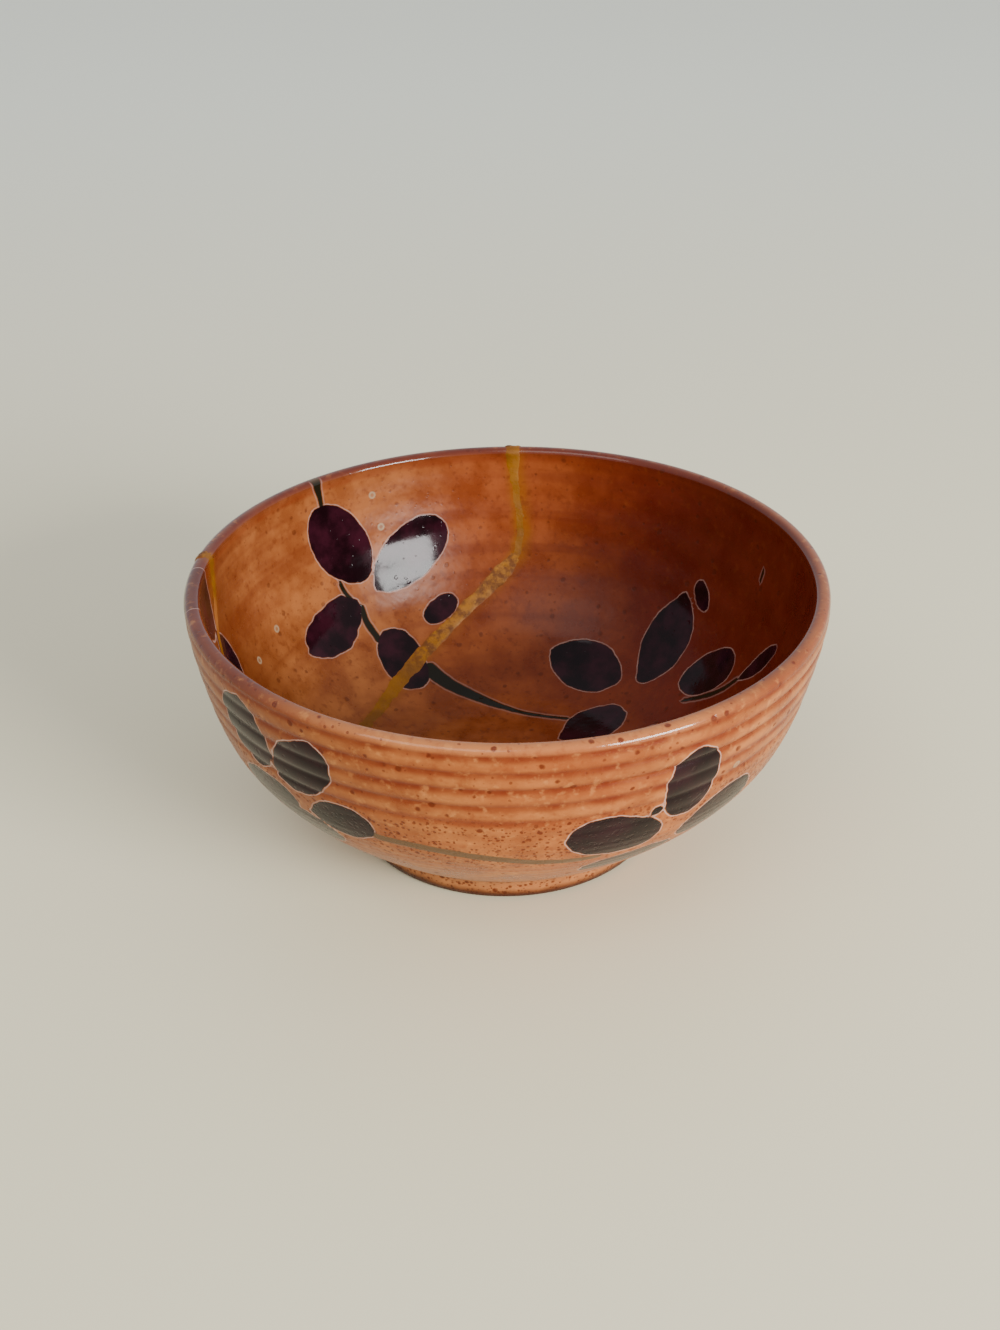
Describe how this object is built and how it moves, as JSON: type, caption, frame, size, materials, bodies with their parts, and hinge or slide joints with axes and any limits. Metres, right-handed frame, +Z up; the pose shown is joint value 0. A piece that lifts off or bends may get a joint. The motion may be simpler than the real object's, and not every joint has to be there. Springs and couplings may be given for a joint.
{
  "type": "kintsugi bowl",
  "caption": "Footed wheel-thrown stoneware bowl with throwing rings and brushed leaves, one broken piece joined back with a raised gold seam.",
  "frame": {"origin": "under the middle of the foot ring, on the surface the bowl stands on", "axes": "+Z up along the axis the bowl was thrown on; the break crosses the rim near +Y and near -X"},
  "size_m": [0.15, 0.1502, 0.0673],
  "materials": {
    "glazed_stoneware": "gloss",
    "glazed_stoneware_shard": "gloss",
    "gold_lacquer": "satin"
  },
  "bodies": {
    "root": {"bowl_body": "glazed_stoneware", "rejoined_shard": "glazed_stoneware_shard", "gold_seam": "gold_lacquer"}
  },
  "joints": []
}
